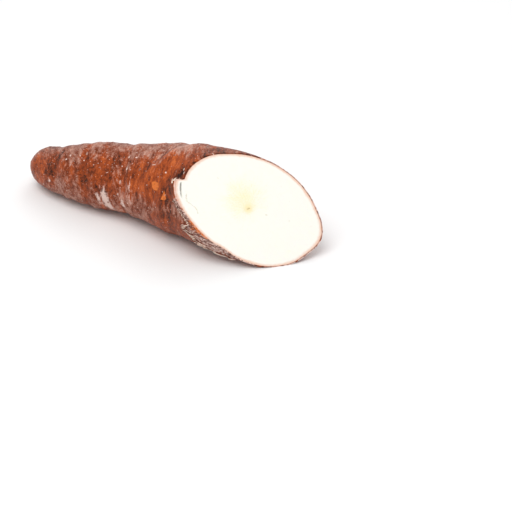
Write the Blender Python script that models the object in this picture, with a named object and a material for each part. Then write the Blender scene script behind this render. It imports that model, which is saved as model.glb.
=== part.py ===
"""A cassava root with its thick end cut off on the slant, lying on its side.

Metres, +Z up. +X runs along the root, from its blunt tip to the cut. The cut face looks
towards +X, -Y and +Z. The floor is Z = 0, and the origin is under the middle of the root's box.
The root grew as one piece, so it is one solid: the bark, the thin cortex under it and the white
flesh are three materials on the faces of one mesh.
"""

import math

import bmesh
import bpy
from mathutils import Vector, noise

MM = 0.001

# The body: at each station along X, how far the centre line lies to the side (+Y), how far the
# underside is lifted off the floor, and the radius.
STATIONS = [
    (0 * MM, -4.8 * MM, 2.0 * MM, 10.2 * MM),
    (10 * MM, -6.4 * MM, 1.1 * MM, 12.0 * MM),
    (30 * MM, -8.0 * MM, 0.2 * MM, 15.8 * MM),
    (56 * MM, -5.5 * MM, 0.0 * MM, 20.2 * MM),
    (81 * MM, -0.9 * MM, 0.0 * MM, 22.3 * MM),
    (103 * MM, 1.5 * MM, 0.0 * MM, 24.7 * MM),
    (128 * MM, 2.4 * MM, 0.0 * MM, 27.6 * MM),
    (154 * MM, 0.6 * MM, 0.0 * MM, 30.2 * MM),
    (178 * MM, 0.8 * MM, 0.0 * MM, 30.2 * MM),
    (212 * MM, 0.8 * MM, 0.0 * MM, 30.4 * MM),
]
SIDE, LIFT, RADIUS = 1, 2, 3
TIP = 2.3 * MM  # where the root begins
NOSE_LENGTH = 13 * MM  # the tip is rounded off over this length
REST_SINK = 0.45 * MM  # the underside is flattened by this much, so the root lies without rolling

# The growth rings: where each crosses the top of the root, how much it swells (+) or pinches (-)
# the bark, and how wide it is. They lean, so each is RING_SLANT nearer the cut on the near side.
RINGS = [
    (29.0 * MM, -0.7 * MM, 4.0 * MM),
    (35.5 * MM, 0.5 * MM, 3.0 * MM),
    (42.0 * MM, -0.3 * MM, 3.0 * MM),
    (48.5 * MM, 0.4 * MM, 2.5 * MM),
    (53.5 * MM, -0.3 * MM, 2.5 * MM),
    (58.5 * MM, 0.5 * MM, 2.5 * MM),
    (72.0 * MM, -0.5 * MM, 5.0 * MM),
    (82.0 * MM, -1.2 * MM, 4.0 * MM),
    (87.0 * MM, 0.2 * MM, 2.0 * MM),
    (94.0 * MM, -0.4 * MM, 6.0 * MM),
    (104.0 * MM, 0.3 * MM, 4.0 * MM),
    (115.0 * MM, 1.2 * MM, 6.0 * MM),
]
RING_SLANT = 11 * MM
RING_WAVER = 2.5 * MM  # how far a ring strays from its plane as it goes round

# The shoulder: a fold that runs slantwise over the top, with the root fuller on its cut side.
FOLD_X = 121 * MM
FOLD_SLANT = -12.5 * MM
FOLD_HEIGHT = 1.3 * MM
FOLD_WIDTH = 3.5 * MM
FOLD_HOLLOW = 0.4 * MM
SHOULDER_HEIGHT = 1.2 * MM
FOLD_ANGLE = math.radians(10)
FOLD_REACH = math.radians(60)

# Lumps and lengthwise wrinkles of the bark
LUMP_HEIGHT = 0.7 * MM
LUMP_SIZE = 22 * MM
LUMP_CALM = 0.5  # near the cut the lumps are this much lower
WRINKLE_HEIGHT = 0.22 * MM
WRINKLE_LENGTH = 14 * MM
WRINKLES_ROUND = 3.0

# Low swellings (+) and flatter places (-) next to the cut: direction, spread and height
SWELLINGS = [
    (math.radians(-12), math.radians(24), -1.2 * MM),
    (math.radians(46), math.radians(34), 2.1 * MM),
    (math.radians(42), math.radians(12), 0.9 * MM),
    (math.radians(205), math.radians(16), -0.8 * MM),
    (math.radians(232), math.radians(18), 0.7 * MM),
    (math.radians(268), math.radians(20), -0.6 * MM),
]
SWELLING_START = 122 * MM
SWELLING_FULL = 152 * MM

# The slanting cut
CUT_CENTRE = Vector((173.6 * MM, 0.9 * MM, 30.0 * MM))
CUT_SLOPE_Y = 0.75  # the plane moves this far along X for each metre along +Y
CUT_SLOPE_Z = -0.76  # and this far for each metre up
BARK_THICKNESS = 0.5 * MM
CORTEX_THICKNESS = 1.9 * MM

# The strip of bark and cortex that the knife started to lift off, and the crack behind it. Angles
# go from the top of the root (0) round its near side.
FLAP_START = math.radians(49)
FLAP_FULL = math.radians(54)
FLAP_END = math.radians(101)
FLAP_LIFT = 4.5 * MM
FLAP_REACH = 6 * MM  # how far back along the root the strip stands off
FLESH_FOLLOWS = 0.95  # the share of the strip's lift that the flesh beside the crack has too
CRACK_WIDTH = 0.5 * MM
CRACK_DEPTH = 2.4 * MM
NOTCH_ANGLE = math.radians(44)  # where a chip of bark is gone behind the rim, above the strip
NOTCH_WIDTH = math.radians(6)
NOTCH_DEPTH = 1.1 * MM
NOTCH_BACK = 3 * MM
NOTCH_REACH = 2 * MM
TORN_ANGLE = math.radians(112)  # where the outer bark is torn off below the strip
TORN_WIDTH = math.radians(24)
TORN_DEPTH = 0.6 * MM
TORN_REACH = 6 * MM
NICK_ANGLE = math.radians(128)  # where the rim itself is chipped, in the torn bark
NICK_WIDTH = math.radians(9)
NICK_DEPTH = 1.0 * MM
NICK_REACH = 4 * MM

# Mesh fineness
COLUMNS = 90
NOSE_ROWS = 8
BODY_ROWS = 46
BODY_END = 126 * MM  # up to here the rows are square to X; beyond, they fan out to the slant
FLESH_RINGS = (0.72, 0.40, 0.14)


def along(column, x):
    """The value of a station column at x, on a smooth curve through the stations."""
    last = len(STATIONS) - 2
    i = 0
    while i < last and x > STATIONS[i + 1][0]:
        i += 1
    before, a, b, after = (STATIONS[max(0, min(last + 1, k))] for k in (i - 1, i, i + 1, i + 2))
    span = b[0] - a[0]
    slope_a = (b[column] - before[column]) / (b[0] - before[0])
    slope_b = (after[column] - a[column]) / (after[0] - a[0])
    t = (x - a[0]) / span
    return (
        a[column] * (2 * t**3 - 3 * t**2 + 1)
        + b[column] * (3 * t**2 - 2 * t**3)
        + slope_a * span * (t**3 - 2 * t**2 + t)
        + slope_b * span * (t**3 - t**2)
    )


def bell(distance, width):
    """A smooth bump, 1 in the middle and about a third at the given distance."""
    return math.exp(-((distance / width) ** 2))


def ramp(value, start, end):
    """0 up to start, 1 from end on, smooth between."""
    t = max(0.0, min(1.0, (value - start) / (end - start)))
    return t * t * (3 - 2 * t)


def turn(angle, middle):
    """The angle between two directions round the root, from -180 to 180 degrees."""
    return (angle - middle + math.pi) % (2 * math.pi) - math.pi


def around(x, angle, radius, stretch=1.0, seed=0.0):
    """A point for the noise, which closes on itself round the root."""
    return Vector((x / stretch + seed, radius * math.sin(angle), radius * math.cos(angle)))


def ring_relief(x, angle):
    """The growth rings at x."""
    waver = RING_WAVER * noise.noise(around(x, angle, 1.2, 30 * MM, 7.0))
    ring_x = x - RING_SLANT * math.sin(angle) + waver
    relief = 0.0
    for centre, height, width in RINGS:
        patch = 0.8 + 0.6 * noise.noise(around(centre, angle, 1.5, MM, 3.0))
        relief += height * patch * bell(ring_x - centre, width)
    return relief


def fold_relief(x, angle):
    """The slanting fold at the shoulder, with a soft hollow before it and a fuller root after it."""
    off = turn(angle, FOLD_ANGLE)
    past = x - FOLD_X - FOLD_SLANT * math.sin(off)
    ridge = FOLD_HEIGHT * bell(past, FOLD_WIDTH)
    hollow = FOLD_HOLLOW * bell(past + 2.5 * FOLD_WIDTH, 2 * FOLD_WIDTH)
    shoulder = ramp(past, 0.0, FOLD_WIDTH) * (1 - ramp(past, 4 * FOLD_WIDTH, 9 * FOLD_WIDTH))
    return bell(off, FOLD_REACH) * (ridge - hollow + SHOULDER_HEIGHT * shoulder)


def lumps(x, angle):
    """Broad lumps and lengthwise wrinkles."""
    calm = 1 - LUMP_CALM * ramp(x, SWELLING_START, SWELLING_FULL)
    broad = noise.noise(around(x, angle, 1.1, LUMP_SIZE, 1.5))
    fine = noise.noise(around(x, angle, WRINKLES_ROUND, WRINKLE_LENGTH, 20.0))
    return calm * LUMP_HEIGHT * broad + WRINKLE_HEIGHT * fine


def swellings(x, angle):
    """The low swellings and flatter places next to the cut."""
    total = sum(height * bell(turn(angle, middle), width) for middle, width, height in SWELLINGS)
    return ramp(x, SWELLING_START, SWELLING_FULL) * total


def place(x, angle, radius):
    """The point at a distance from the centre line. Angle 0 is up, a quarter turn is the near side."""
    side = along(SIDE, x)
    height = along(RADIUS, x) + along(LIFT, x) - REST_SINK
    return Vector((x, side - radius * math.sin(angle), height + radius * math.cos(angle)))


def whole_radius(x, angle):
    """The distance of the bark from the centre line, before the knife."""
    base = along(RADIUS, x)
    relief = ring_relief(x, angle) + fold_relief(x, angle) + lumps(x, angle) + swellings(x, angle)
    rounding = math.sqrt(1 - max(0.0, 1 - (x - TIP) / NOSE_LENGTH) ** 2)
    return (base + relief) * rounding


def on_cut(point):
    """The X of the cut plane at a point's Y and Z."""
    aside = CUT_SLOPE_Y * (point.y - CUT_CENTRE.y)
    return CUT_CENTRE.x + aside + CUT_SLOPE_Z * (point.z - CUT_CENTRE.z)


def cut_x(angle):
    """Where the bark, as the knife left it, meets the cut plane."""
    marks = knife_marks(angle, 0.0)
    x = CUT_CENTRE.x
    for _ in range(12):
        x = on_cut(place(x, angle, whole_radius(x, angle) + marks))
    return x


def flap(angle):
    """How far the lifted strip stands off, from 0 to 1: it starts sharply and dies away."""
    return ramp(angle, FLAP_START, FLAP_FULL) * (1 - ramp(angle, FLAP_FULL, FLAP_END))


def knife_marks(angle, back):
    """What the knife did to the bark at a distance back from the cut."""
    lifted = FLAP_LIFT * flap(angle) * bell(back, FLAP_REACH)
    notch = NOTCH_DEPTH * bell(turn(angle, NOTCH_ANGLE), NOTCH_WIDTH)
    nick = NICK_DEPTH * bell(turn(angle, NICK_ANGLE), NICK_WIDTH)
    torn = TORN_DEPTH * bell(turn(angle, TORN_ANGLE), TORN_WIDTH)
    return (
        lifted
        - notch * bell(back - NOTCH_BACK, NOTCH_REACH)
        - nick * bell(back, NICK_REACH)
        - torn * (1 - ramp(back, 0.6 * TORN_REACH, TORN_REACH))
    )


def bark_point(x, angle, end):
    """A point of the bark, never below the floor."""
    point = place(x, angle, whole_radius(x, angle) + knife_marks(angle, end - x))
    point.z = max(0.0, point.z)
    return point


def rim_point(angle, inward, lifted):
    """A point of the cut face, inward from the bark; lifted is its share of the strip's lift."""
    end = cut_x(angle)
    marks = knife_marks(angle, 0.0)
    stand_off = FLAP_LIFT * flap(angle)
    radius = whole_radius(end, angle) + marks - (1 - lifted) * stand_off - inward
    point = place(end, angle, radius)
    point.z = max(0.8 * inward, point.z)
    point.x = on_cut(point)
    return point


def body_column(angle):
    """The bark's points at one angle, from next to the tip to next to the cut."""
    end = cut_x(angle)
    points = []
    for row in range(1, NOSE_ROWS + 1):
        turned = math.pi / 2 * row / NOSE_ROWS
        points.append(bark_point(TIP + NOSE_LENGTH * (1 - math.cos(turned)), angle, end))
    nose_end = TIP + NOSE_LENGTH
    for row in range(1, BODY_ROWS):
        share = row / BODY_ROWS
        straight = nose_end + (CUT_CENTRE.x - nose_end) * share
        late = ramp(straight, BODY_END - 40 * MM, CUT_CENTRE.x)
        points.append(bark_point(straight + (end - CUT_CENTRE.x) * late, angle, end))
    return points


def face_column(angle):
    """The cut face's points at one angle, from the bark's edge to the flesh."""
    bark_inside = BARK_THICKNESS
    cortex_inside = BARK_THICKNESS + CORTEX_THICKNESS
    flesh_edge = cortex_inside + CRACK_WIDTH
    depth = CRACK_DEPTH * ramp(flap(angle), 0.0, 0.35)
    sunk = Vector((-depth, 0.0, 0.0))
    third = CRACK_WIDTH / 3
    return [
        rim_point(angle, 0.0, 1.0),
        rim_point(angle, bark_inside, 1.0),
        rim_point(angle, cortex_inside, 1.0),
        rim_point(angle, cortex_inside + third, 1.0) + sunk,
        rim_point(angle, flesh_edge - third, FLESH_FOLLOWS) + sunk,
        rim_point(angle, flesh_edge, FLESH_FOLLOWS),
    ]


def flesh_column(angle):
    """The points of the flesh inside its edge."""
    edge = rim_point(angle, BARK_THICKNESS + CORTEX_THICKNESS + CRACK_WIDTH, FLESH_FOLLOWS)
    return [CUT_CENTRE.lerp(edge, share) for share in FLESH_RINGS]


def band(mesh, ring, next_ring, material):
    """Faces between two rings of vertices."""
    count = len(ring)
    for j in range(count):
        k = (j + 1) % count
        face = mesh.faces.new((ring[j], ring[k], next_ring[k], next_ring[j]))
        face.material_index = material


def fan(mesh, ring, tip, material):
    """Faces from a ring of vertices to one point."""
    count = len(ring)
    for j in range(count):
        face = mesh.faces.new((ring[j], ring[(j + 1) % count], tip))
        face.material_index = material


def root_mesh():
    """The whole root as one closed mesh."""
    angles = [2 * math.pi * j / COLUMNS for j in range(COLUMNS)]
    columns = [body_column(a) + face_column(a) + flesh_column(a) for a in angles]
    body_rings = len(body_column(0.0))
    mesh = bmesh.new()
    rings = [[mesh.verts.new(column[i]) for column in columns] for i in range(len(columns[0]))]
    nose = mesh.verts.new(place(TIP, 0.0, 0.0))
    heart = mesh.verts.new(CUT_CENTRE)
    bark, cortex, flesh = 0, 1, 2
    fan(mesh, rings[0], nose, bark)
    for i in range(len(rings) - 1):
        material = flesh
        if i < body_rings + 1:
            material = bark
        elif i < body_rings + 3:
            material = cortex
        band(mesh, rings[i], rings[i + 1], material)
    fan(mesh, rings[-1], heart, flesh)
    bmesh.ops.triangulate(mesh, faces=mesh.faces)
    bmesh.ops.recalc_face_normals(mesh, faces=mesh.faces)
    return mesh


def stand_on_origin(mesh):
    """Move the mesh so that the origin is under the middle of its box."""
    lowest = Vector((min(v.co[i] for v in mesh.verts) for i in range(3)))
    highest = Vector((max(v.co[i] for v in mesh.verts) for i in range(3)))
    middle = (lowest + highest) / 2
    bmesh.ops.translate(mesh, verts=mesh.verts, vec=(-middle.x, -middle.y, -lowest.z))


def material(name, colour, roughness):
    """A plain non-metallic material."""
    made = bpy.data.materials.new(name)
    made.use_nodes = True
    shader = made.node_tree.nodes["Principled BSDF"]
    shader.inputs["Base Color"].default_value = (*colour, 1.0)
    shader.inputs["Roughness"].default_value = roughness
    shader.inputs["Metallic"].default_value = 0.0
    made.diffuse_color = (*colour, 1.0)
    return made


def cassava_root():
    """The root as an object with its three materials."""
    mesh = root_mesh()
    stand_on_origin(mesh)
    data = bpy.data.meshes.new("cassava_root")
    mesh.to_mesh(data)
    mesh.free()
    data.materials.append(material("bark", (0.27, 0.07, 0.025), 0.5))
    data.materials.append(material("cortex", (0.85, 0.66, 0.52), 0.6))
    data.materials.append(material("flesh", (0.90, 0.87, 0.74), 0.55))
    data.shade_smooth()
    data.set_sharp_from_angle(angle=math.radians(35))
    root = bpy.data.objects.new("cassava_root", data)
    bpy.context.scene.collection.objects.link(root)


def main():
    for old in list(bpy.data.objects):
        bpy.data.objects.remove(old)
    cassava_root()


if __name__ == "__main__":
    main()
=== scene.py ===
"""A cut cassava root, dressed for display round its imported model.

Metres, +Z up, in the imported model's frame: +X runs along the root from its blunt tip to the
slanting cut, and the root lies on the floor at Z = 0. Lengths marked MM are in millimetres, and
directions round the root go from its top (0) down its near side.
"""

import math

import bpy
import numpy as np
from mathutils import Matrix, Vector, noise


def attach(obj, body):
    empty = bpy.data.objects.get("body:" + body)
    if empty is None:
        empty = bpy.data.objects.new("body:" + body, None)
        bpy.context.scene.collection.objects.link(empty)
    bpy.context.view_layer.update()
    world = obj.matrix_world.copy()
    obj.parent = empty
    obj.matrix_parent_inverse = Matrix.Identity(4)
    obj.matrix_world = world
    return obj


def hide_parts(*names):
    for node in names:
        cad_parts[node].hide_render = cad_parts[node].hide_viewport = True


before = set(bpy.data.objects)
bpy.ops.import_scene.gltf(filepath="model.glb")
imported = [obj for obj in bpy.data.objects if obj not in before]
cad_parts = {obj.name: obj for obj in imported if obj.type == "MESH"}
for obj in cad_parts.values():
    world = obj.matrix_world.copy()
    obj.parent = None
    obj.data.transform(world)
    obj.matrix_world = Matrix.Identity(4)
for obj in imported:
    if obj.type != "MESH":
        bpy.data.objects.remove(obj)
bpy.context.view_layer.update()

bl_info = {
    "name": "Cassava Root",
    "version": (1, 0, 0),
    "blender": (4, 5, 0),
    "location": "3D View > Sidebar > Cassava",
    "description": "Builds a cut cassava root with wrinkled bark, cortex and white flesh, and a plain stage",
    "category": "Add Mesh",
}

MM = 0.001
DEGREE = math.radians(1)
ROOT_NODE = "cassava_root"
ROOT_BODY = "root"


def measured(units, table):
    """A table of plain numbers, each column times its unit."""
    return [tuple(value * unit for value, unit in zip(row, units)) for row in table]


# ---------------------------------------------------------------- the root's own form

# The stations and every other place below count from the tip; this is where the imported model's
# origin lies among them.
ORIGIN = np.array([104.410, 0.006, 0.0]) * MM

# At each station along X from the tip: how far the centre line lies to the side (+Y), how far the
# underside is lifted off the floor, and the radius.
STATIONS = np.array([
    (0.0, -4.8, 2.0, 10.2),
    (10.0, -6.4, 1.1, 12.0),
    (30.0, -8.0, 0.2, 15.8),
    (56.0, -5.5, 0.0, 20.2),
    (81.0, -0.9, 0.0, 22.3),
    (103.0, 1.5, 0.0, 24.7),
    (128.0, 2.4, 0.0, 27.6),
    (154.0, 0.6, 0.0, 30.2),
    (178.0, 0.8, 0.0, 30.2),
    (212.0, 0.8, 0.0, 30.4),
]) * MM
SIDE, LIFT, RADIUS = 1, 2, 3
TIP = 2.3 * MM
NOSE_LENGTH = 13 * MM
REST_SINK = 0.45 * MM

# The growth rings: where each crosses the top, how much it swells (+) or pinches (-) the bark, its
# width, and then its colour: how pale and hazy, and how rusty
RINGS = measured((MM, MM, MM, 1, 1), [
    (29.0, -0.7, 4.0, 0.1, 0.0),
    (35.5, 0.5, 3.0, 0.0, 0.2),
    (42.0, -0.3, 3.0, 0.6, 0.0),
    (48.5, 0.4, 2.5, 0.4, 0.0),
    (53.5, -0.3, 2.5, 0.0, 0.7),
    (58.5, 0.5, 2.5, 0.5, 0.0),
    (65.0, 0.0, 2.5, 0.0, 0.8),
    (72.0, -0.5, 5.0, 0.1, 0.2),
    (82.0, -1.2, 4.0, 0.0, 0.5),
    (87.0, 0.2, 2.0, 0.5, 0.0),
    (94.0, -0.4, 6.0, 0.2, 0.3),
    (104.0, 0.3, 4.0, 0.1, 0.5),
    (115.0, 1.2, 6.0, 0.0, 0.6),
])
RING_SLANT = 11 * MM
RING_WAVER = 2.5 * MM

# The slanting fold where the root grows fuller
FOLD_X = 121 * MM
FOLD_SLANT = -12.5 * MM
FOLD_HEIGHT = 1.3 * MM
FOLD_WIDTH = 3.5 * MM
FOLD_HOLLOW = 0.4 * MM
SHOULDER_HEIGHT = 1.2 * MM
FOLD_ANGLE = math.radians(10)
FOLD_REACH = math.radians(60)

# Lumps and lengthwise wrinkles
LUMP_HEIGHT = 0.7 * MM
LUMP_SIZE = 22 * MM
LUMP_CALM = 0.5
WRINKLE_HEIGHT = 0.22 * MM
WRINKLE_LENGTH = 14 * MM
WRINKLES_ROUND = 3.0
# The root's mean radius in millimetres, by which the bark's grain is sized round it
MEAN_RADIUS = 22

# Low swellings (+) and flatter places (-) next to the cut: direction, spread, height
SWELLINGS = measured((DEGREE, DEGREE, MM), [
    (-12, 24, -1.2),
    (46, 34, 2.1),
    (42, 12, 0.9),
    (205, 16, -0.8),
    (232, 18, 0.7),
    (268, 20, -0.6),
])
SWELLING_START = 122 * MM
SWELLING_FULL = 152 * MM

# The slanting cut
CUT_CENTRE = np.array([173.6, 0.9, 30.0]) * MM
CUT_SLOPE_Y = 0.75
CUT_SLOPE_Z = -0.76
BARK_THICKNESS = 0.5 * MM
CORTEX_THICKNESS = 1.9 * MM

# What the knife did at the cut: the lifted strip of bark and the crack beside it, a notch, a torn
# hollow and a nick
FLAP_START = math.radians(49)
FLAP_FULL = math.radians(54)
FLAP_END = math.radians(101)
FLAP_LIFT = 4.5 * MM
FLAP_REACH = 6 * MM
FLESH_FOLLOWS = 0.95
CRACK_WIDTH = 0.5 * MM
CRACK_DEPTH = 2.4 * MM
NOTCH_ANGLE = math.radians(44)
NOTCH_WIDTH = math.radians(6)
NOTCH_DEPTH = 1.1 * MM
NOTCH_BACK = 3 * MM
NOTCH_REACH = 2 * MM
TORN_ANGLE = math.radians(112)
TORN_WIDTH = math.radians(24)
TORN_DEPTH = 0.6 * MM
TORN_REACH = 6 * MM
NICK_ANGLE = math.radians(128)
NICK_WIDTH = math.radians(9)
NICK_DEPTH = 1.0 * MM
NICK_REACH = 4 * MM

# Where the outer bark is torn off beside the cut: how far back from the cut, at each direction
TORN_ROUND = np.radians([70, 74, 79, 86, 94, 98, 102, 111, 124, 138, 148, 156])
TORN_BACK = np.array([0, 3.6, 3.4, 2.4, 2.0, 3.0, 9.5, 11.5, 14.0, 15.0, 7.0, 0]) * MM
TORN_STEP = 0.35 * MM
TORN_SOFTNESS = 0.35 * MM
# Where the orange layer under it shows, back from the cut
PEELED_ANGLE = math.radians(103)
PEELED_WIDTH = math.radians(8)
PEELED_REACH = 4.4 * MM

# The two chips where the outer bark is gone: the corners of each, as X (mm) and direction (degrees)
CHIPS = [
    [(117.3, 61.0), (119.9, 59.6), (123.2, 60.8), (124.0, 65.0), (123.6, 69.8), (120.6, 70.4),
     (118.2, 67.4)],
    [(129.2, 67.8), (130.4, 72.0), (131.9, 76.4), (130.4, 79.0), (127.4, 79.2), (128.3, 74.0)],
]
CHIP_DEPTH = 0.25 * MM
# Where a chip's hollow starts to rise and where it ends, as shares of the chip's half size
CHIP_FLOOR, CHIP_EDGE = 0.75, 1.15

# Mesh fineness, and where the mesh's rings start to lean towards the slant of the cut
COLUMNS = 300
NOSE_ROWS = 26
BODY_ROWS = 236
LEAN_START = 86 * MM
FLESH_RINGS = 26
# The cut face's first rings, counted from the bark's edge; the crack lies between the last two
BARK_INSIDE = 2
CORTEX_INSIDE = 6
FLESH_EDGE = 9


def along(column, x):
    """A station column's value at x, on a smooth curve through the stations."""
    places = STATIONS[:, 0]
    values = STATIONS[:, column]
    last = len(places) - 1
    before = np.maximum(np.arange(last + 1) - 1, 0)
    after = np.minimum(np.arange(last + 1) + 1, last)
    slopes = (values[after] - values[before]) / (places[after] - places[before])
    i = np.clip(np.searchsorted(places, x) - 1, 0, last - 1)
    span = places[i + 1] - places[i]
    t = (x - places[i]) / span
    return (
        values[i] * (2 * t**3 - 3 * t**2 + 1)
        + values[i + 1] * (3 * t**2 - 2 * t**3)
        + slopes[i] * span * (t**3 - 2 * t**2 + t)
        + slopes[i + 1] * span * (t**3 - t**2)
    )


def bell(distance, width):
    """A smooth bump, 1 in the middle and about a third at the given distance."""
    return np.exp(-((distance / width) ** 2))


def ramp(value, start, end):
    """0 up to start, 1 from end on, smooth between."""
    t = np.clip((value - start) / (end - start), 0.0, 1.0)
    return t * t * (3 - 2 * t)


def turn(angle, middle):
    """The angle between two directions round the root, from -180 to 180 degrees."""
    return (angle - middle + math.pi) % (2 * math.pi) - math.pi


def noise_round(x, angle, radius, stretch=1.0, seed=0.0):
    """Noise that closes on itself round the root, at each of many places."""
    x, angle = np.broadcast_arrays(x, angle)
    points = np.stack([x / stretch + seed, radius * np.sin(angle), radius * np.cos(angle)], axis=-1)
    values = [noise.noise(point) for point in points.reshape(-1, 3).tolist()]
    return np.array(values).reshape(x.shape)


def ring_place(x, angle):
    """Where a point lies among the leaning, wavering growth rings: the X of its ring on the top."""
    return x - RING_SLANT * np.sin(angle) + RING_WAVER * noise_round(x, angle, 1.2, 30 * MM, 7.0)


def ring_relief(x, angle):
    """How much the growth rings swell or pinch the bark, unevenly round the root."""
    ring_x = ring_place(x, angle)
    relief = np.zeros_like(ring_x)
    for centre, height, width, _haze, _rust in RINGS:
        patch = 0.8 + 0.6 * noise_round(centre, angle, 1.5, MM, 3.0)
        relief = relief + height * patch * bell(ring_x - centre, width)
    return relief


def past_fold(x, angle):
    """How far a place lies past the slanting fold."""
    return x - FOLD_X - FOLD_SLANT * np.sin(turn(angle, FOLD_ANGLE))


def fold_relief(x, angle):
    """The slanting fold, with a soft hollow before it and a fuller root after it."""
    past = past_fold(x, angle)
    ridge = FOLD_HEIGHT * bell(past, FOLD_WIDTH)
    hollow = FOLD_HOLLOW * bell(past + 2.5 * FOLD_WIDTH, 2 * FOLD_WIDTH)
    shoulder = SHOULDER_HEIGHT * ramp(past, 0.0, FOLD_WIDTH)
    shoulder = shoulder * (1 - ramp(past, 4 * FOLD_WIDTH, 9 * FOLD_WIDTH))
    return bell(turn(angle, FOLD_ANGLE), FOLD_REACH) * (ridge - hollow + shoulder)


def lumps(x, angle):
    """Broad lumps and lengthwise wrinkles."""
    calm = 1 - LUMP_CALM * ramp(x, SWELLING_START, SWELLING_FULL)
    broad = noise_round(x, angle, 1.1, LUMP_SIZE, 1.5)
    fine = noise_round(x, angle, WRINKLES_ROUND, WRINKLE_LENGTH, 20.0)
    return calm * LUMP_HEIGHT * broad + WRINKLE_HEIGHT * fine


def swellings(x, angle):
    """The low swellings next to the cut."""
    raised = sum(height * bell(turn(angle, middle), width) for middle, width, height in SWELLINGS)
    return ramp(x, SWELLING_START, SWELLING_FULL) * raised


def place(x, angle, radius):
    """The point at a distance from the centre line. Angle 0 is up, a quarter turn is the near side."""
    x, angle, radius = np.broadcast_arrays(x, angle, radius)
    side = along(SIDE, x) - radius * np.sin(angle)
    height = along(RADIUS, x) + along(LIFT, x) - REST_SINK + radius * np.cos(angle)
    return np.stack([x, side, height], axis=-1)


def whole_radius(x, angle):
    """The distance of the bark from the centre line, before the knife."""
    relief = ring_relief(x, angle) + fold_relief(x, angle) + lumps(x, angle) + swellings(x, angle)
    rounding = np.sqrt(1 - np.maximum(0.0, 1 - (x - TIP) / NOSE_LENGTH) ** 2)
    return (along(RADIUS, x) + relief) * rounding


def on_cut(points):
    """The X of the cut plane at each point's Y and Z."""
    aside = CUT_SLOPE_Y * (points[..., 1] - CUT_CENTRE[1])
    return CUT_CENTRE[0] + aside + CUT_SLOPE_Z * (points[..., 2] - CUT_CENTRE[2])


def cut_x(angle):
    """Where the bark, as the knife left it, meets the cut plane."""
    marks = knife_marks(angle, 0.0)
    x = np.full_like(angle, CUT_CENTRE[0])
    for _ in range(12):
        x = on_cut(place(x, angle, whole_radius(x, angle) + marks))
    return x


def flap(angle):
    """How far the lifted strip stands off, from 0 to 1: it starts sharply and dies away."""
    return ramp(angle, FLAP_START, FLAP_FULL) * (1 - ramp(angle, FLAP_FULL, FLAP_END))


def torn_share(angle, back):
    """Where the tear has hollowed the root beside the cut, from 0 to 1."""
    return bell(turn(angle, TORN_ANGLE), TORN_WIDTH) * (1 - ramp(back, 0.6 * TORN_REACH, TORN_REACH))


def knife_marks(angle, back):
    """What the knife did to the bark at a distance back from the cut."""
    lifted = FLAP_LIFT * flap(angle) * bell(back, FLAP_REACH)
    notch = NOTCH_DEPTH * bell(turn(angle, NOTCH_ANGLE), NOTCH_WIDTH)
    notch = notch * bell(back - NOTCH_BACK, NOTCH_REACH)
    nick = NICK_DEPTH * bell(turn(angle, NICK_ANGLE), NICK_WIDTH) * bell(back, NICK_REACH)
    return lifted - notch - nick - TORN_DEPTH * torn_share(angle, back)


def chip_share(x, angle):
    """1 where a chip of the outer bark is gone, else 0, with a narrow edge between."""
    share = np.zeros(np.broadcast(x, angle).shape)
    for corners in CHIPS:
        places = np.array(corners) * [MM, DEGREE]
        middle = places.mean(axis=0)
        half = np.ptp(places, axis=0) / 2
        away = np.hypot((x - middle[0]) / half[0], turn(angle, middle[1]) / half[1])
        share = np.maximum(share, 1 - ramp(away, CHIP_FLOOR, CHIP_EDGE))
    return share


def bark_grain(x, angle, sizes):
    """The fine wrinkles, scaly ridges and lengthwise creases of the bark, with the chips left smooth.

    Each noise is given by the size of its features, in millimetres round the root and then along it.
    """
    rings = ring_place(x, angle)
    wrinkle = noise_round(rings, angle, MEAN_RADIUS / 6.0, 1.7 * MM, 40.0)
    fleck = noise_round(rings, angle, MEAN_RADIUS / 2.2, 1.4 * MM, 60.0)
    scale = 0.5 - np.abs(noise_round(rings, angle, MEAN_RADIUS / 9.0, 5.0 * MM, 80.0))
    crease = noise_round(x, angle, MEAN_RADIUS / 3.5, 20 * MM, 90.0)
    fade = ramp(x, 0.0, NOSE_LENGTH) * (1 - chip_share(x, angle))
    fine = sizes.wrinkle_height * (wrinkle + 0.6 * fleck)
    return fade * (fine + sizes.scale_height * scale + sizes.crease_height * crease)


def torn_edge(angle):
    """How far back from the cut the outer bark is torn off, with a ragged edge."""
    ragged = noise_round(0.0, angle, 26.0, MM, 31.0) + 0.6 * noise_round(0.0, angle, 70.0, MM, 35.0)
    reach = np.interp(angle % (2 * math.pi), TORN_ROUND, TORN_BACK)
    return reach * (1 + 0.5 * ragged) + 0.4 * MM * ragged * ramp(reach, 0.0, 2 * MM)


def torn_off(angle, back):
    """1 where the outer bark is torn off, else 0, with a narrow edge between."""
    return ramp(torn_edge(angle) - back, -TORN_SOFTNESS, TORN_SOFTNESS)


def bark_points(x, angle, end, sizes, lift=0.0):
    """Points of the bark at x and angle, never below the floor; lift raises them off it."""
    radius = whole_radius(x, angle) + knife_marks(angle, end - x) + bark_grain(x, angle, sizes) + lift
    radius = radius - TORN_STEP * torn_off(angle, end - x) - CHIP_DEPTH * chip_share(x, angle)
    points = place(x, angle, radius)
    points[..., 2] = np.maximum(points[..., 2], 0.0)
    return points


def rim_points(angle, end, inward, lifted):
    """Points of the cut face, inward from the bark; lifted is the share of the flap that they follow."""
    stand_off = FLAP_LIFT * flap(angle)
    radius = whole_radius(end, angle) + knife_marks(angle, 0.0) - (1 - lifted) * stand_off - inward
    radius = radius - TORN_STEP * torn_off(angle, 0.0)
    points = place(end, angle, radius)
    points[..., 2] = np.maximum(points[..., 2], 0.8 * inward)
    points[..., 0] = on_cut(points)
    return points


# ---------------------------------------------------------------- sizes and colours to change

COLOUR = {"subtype": "COLOR", "min": 0.0, "max": 1.0}


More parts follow.
